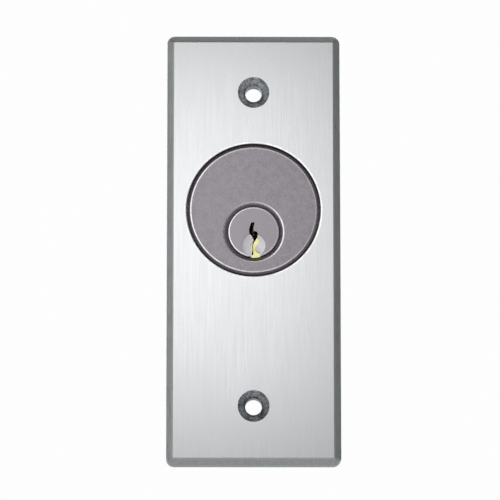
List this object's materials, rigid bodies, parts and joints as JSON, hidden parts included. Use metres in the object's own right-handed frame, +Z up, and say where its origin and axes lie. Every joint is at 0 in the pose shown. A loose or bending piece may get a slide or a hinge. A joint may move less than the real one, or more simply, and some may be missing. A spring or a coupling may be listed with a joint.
{
  "type": "selector key switch",
  "caption": "Key-operated switch on a bevelled narrow wall plate: mortise key cylinder in front, cam, paddle and snap-action switches on a bracket behind.",
  "frame": {"origin": "middle of the plate's flat back face, halfway between the two screw holes, where the plate sits against the wall", "axes": "+Z up along the plate, +Y into the wall, away from the person who turns the key, +X to that person's right"},
  "size_m": [0.0458, 0.0428, 0.1142],
  "materials": {
    "satin_aluminium": "bevelled plate, vertical satin grain",
    "satin_chrome": "dull satin chrome plating, fine stipple",
    "brass": "machined",
    "spring_steel": "drawn wire and strip, bright",
    "zinc_plated_steel": "zinc plated, clear passivated",
    "black_phenolic": "moulded, matt",
    "red_plastic": "moulded, semi-gloss",
    "tinned_brass": "tin plated strip",
    "fish_paper": "vulcanised grey card, matt"
  },
  "bodies": {
    "plate": {"faceplate": "satin_aluminium", "cylinder_shell": "satin_chrome", "pin_spring_1": "spring_steel", "pin_spring_2": "spring_steel", "pin_spring_3": "spring_steel", "pin_spring_4": "spring_steel", "pin_spring_5": "spring_steel", "chamber_cover": "brass", "ring_nut": "zinc_plated_steel", "switch_bracket": "zinc_plated_steel", "bracket_screw_1": "zinc_plated_steel", "bracket_screw_2": "zinc_plated_steel", "front_switch_case": "black_phenolic", "front_switch_cover": "black_phenolic", "front_switch_common_terminal": "tinned_brass", "front_switch_open_terminal": "tinned_brass", "front_switch_closed_terminal": "tinned_brass", "rear_switch_case": "black_phenolic", "rear_switch_cover": "black_phenolic", "rear_switch_common_terminal": "tinned_brass", "rear_switch_open_terminal": "tinned_brass", "rear_switch_closed_terminal": "tinned_brass", "middle_card": "fish_paper", "rear_card": "fish_paper", "switch_screw_1": "zinc_plated_steel", "switch_nut_1": "zinc_plated_steel", "switch_screw_2": "zinc_plated_steel", "switch_nut_2": "zinc_plated_steel", "paddle_pin": "spring_steel", "pin_clip": "spring_steel"},
    "key_plug": {"plug": "satin_chrome", "cam": "zinc_plated_steel", "cam_screw_1": "zinc_plated_steel", "cam_screw_2": "zinc_plated_steel"},
    "paddle": {"paddle": "spring_steel"},
    "front_plunger": {"front_switch_plunger": "red_plastic"},
    "rear_plunger": {"rear_switch_plunger": "red_plastic"},
    "front_blade": {"front_switch_contact_blade": "brass"},
    "rear_blade": {"rear_switch_contact_blade": "brass"},
    "driver_1": {"driver_pin_1": "brass"},
    "bottom_1": {"bottom_pin_1": "brass"},
    "driver_2": {"driver_pin_2": "brass"},
    "bottom_2": {"bottom_pin_2": "brass"},
    "driver_3": {"driver_pin_3": "brass"},
    "bottom_3": {"bottom_pin_3": "brass"},
    "driver_4": {"driver_pin_4": "brass"},
    "bottom_4": {"bottom_pin_4": "brass"},
    "driver_5": {"driver_pin_5": "brass"},
    "bottom_5": {"bottom_pin_5": "brass"}
  },
  "joints": [
    {"name": "plug_turn", "type": "hinge", "parent": "plate", "child": "key_plug", "pos_m": [0, 0, 0.00425], "axis": [0, 1, 0], "range_deg": [0, 60]},
    {"name": "paddle_swing", "type": "hinge", "parent": "plate", "child": "paddle", "pos_m": [-0.0106, 0.0255, -0.0072], "axis": [0, 1, 0], "range_deg": [0, 6.01]},
    {"name": "front_plunger_press", "type": "slide", "parent": "plate", "child": "front_plunger", "axis": [0, 0, -1], "range_m": [0, 0.0008]},
    {"name": "front_blade_flex", "type": "hinge", "parent": "plate", "child": "front_blade", "pos_m": [0.0076, 0.0213, -0.0127], "axis": [0, 1, 0], "range_deg": [-4.33, 0]},
    {"name": "rear_plunger_press", "type": "slide", "parent": "plate", "child": "rear_plunger", "axis": [0, 0, -1], "range_m": [0, 0.0008]},
    {"name": "rear_blade_flex", "type": "hinge", "parent": "plate", "child": "rear_blade", "pos_m": [0.0076, 0.028, -0.0127], "axis": [0, 1, 0], "range_deg": [-4.33, 0]},
    {"name": "pin_stack_1", "type": "slide", "parent": "plate", "child": "driver_1", "axis": [0, 0, 1], "range_m": [-0.004, 0], "deforming": ["pin_spring_1"]},
    {"name": "bottom_pin_1_drop", "type": "slide", "parent": "key_plug", "child": "bottom_1", "axis": [0, 0, 1], "range_m": [-0.004, 0]},
    {"name": "pin_stack_2", "type": "slide", "parent": "plate", "child": "driver_2", "axis": [0, 0, 1], "range_m": [-0.0028, 0], "deforming": ["pin_spring_2"]},
    {"name": "bottom_pin_2_drop", "type": "slide", "parent": "key_plug", "child": "bottom_2", "axis": [0, 0, 1], "range_m": [-0.0028, 0]},
    {"name": "pin_stack_3", "type": "slide", "parent": "plate", "child": "driver_3", "axis": [0, 0, 1], "range_m": [-0.0034, 0], "deforming": ["pin_spring_3"]},
    {"name": "bottom_pin_3_drop", "type": "slide", "parent": "key_plug", "child": "bottom_3", "axis": [0, 0, 1], "range_m": [-0.0034, 0]},
    {"name": "pin_stack_4", "type": "slide", "parent": "plate", "child": "driver_4", "axis": [0, 0, 1], "range_m": [-0.0022, 0], "deforming": ["pin_spring_4"]},
    {"name": "bottom_pin_4_drop", "type": "slide", "parent": "key_plug", "child": "bottom_4", "axis": [0, 0, 1], "range_m": [-0.0022, 0]},
    {"name": "pin_stack_5", "type": "slide", "parent": "plate", "child": "driver_5", "axis": [0, 0, 1], "range_m": [-0.0031, 0], "deforming": ["pin_spring_5"]},
    {"name": "bottom_pin_5_drop", "type": "slide", "parent": "key_plug", "child": "bottom_5", "axis": [0, 0, 1], "range_m": [-0.0031, 0]}
  ],
  "couplings": [
    {"joint": "paddle_swing", "follows": "plug_turn", "ratio": 0.1},
    {"joint": "front_plunger_press", "follows": "plug_turn", "m_per_rad": 0.00075},
    {"joint": "front_blade_flex", "follows": "plug_turn", "ratio": -0.072},
    {"joint": "rear_plunger_press", "follows": "plug_turn", "m_per_rad": 0.00075},
    {"joint": "rear_blade_flex", "follows": "plug_turn", "ratio": -0.072},
    {"joint": "bottom_pin_1_drop", "follows": "pin_stack_1", "ratio": 1},
    {"joint": "bottom_pin_2_drop", "follows": "pin_stack_2", "ratio": 1},
    {"joint": "bottom_pin_3_drop", "follows": "pin_stack_3", "ratio": 1},
    {"joint": "bottom_pin_4_drop", "follows": "pin_stack_4", "ratio": 1},
    {"joint": "bottom_pin_5_drop", "follows": "pin_stack_5", "ratio": 1}
  ]
}
